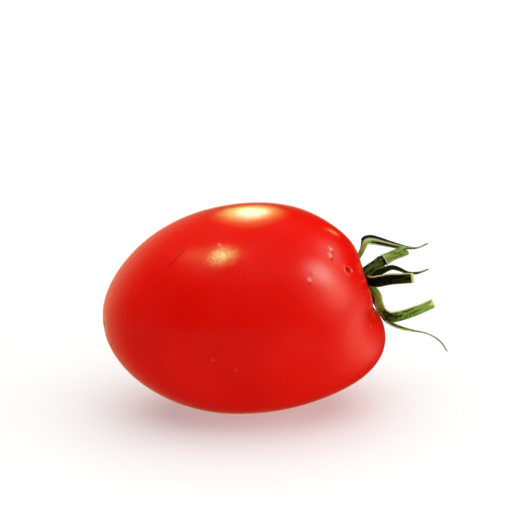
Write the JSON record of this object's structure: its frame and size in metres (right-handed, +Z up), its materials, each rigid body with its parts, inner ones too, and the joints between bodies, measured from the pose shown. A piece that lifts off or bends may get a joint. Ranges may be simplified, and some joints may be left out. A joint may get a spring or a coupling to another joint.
{
  "type": "tomato",
  "caption": "Ripe red plum tomato as picked, lying on its side, with its green calyx of long bent sepals and a short cut stalk.",
  "frame": {"origin": "middle of the small flat spot that the fruit lies on", "axes": "+X along the fruit from its blossom end to its stem end, +Z up from the surface that it lies on, -Y towards the side that the picture shows"},
  "size_m": [0.0894, 0.0534, 0.0529],
  "materials": {
    "skin": "smooth waxy ripe red skin, glossy",
    "calyx": "matt green leaf with fine hairs, tips drying to brown",
    "stalk": "matt mottled green stem, pale at the cut"
  },
  "bodies": {
    "root": {"fruit": "skin", "calyx": "calyx", "stalk": "stalk"}
  },
  "joints": []
}
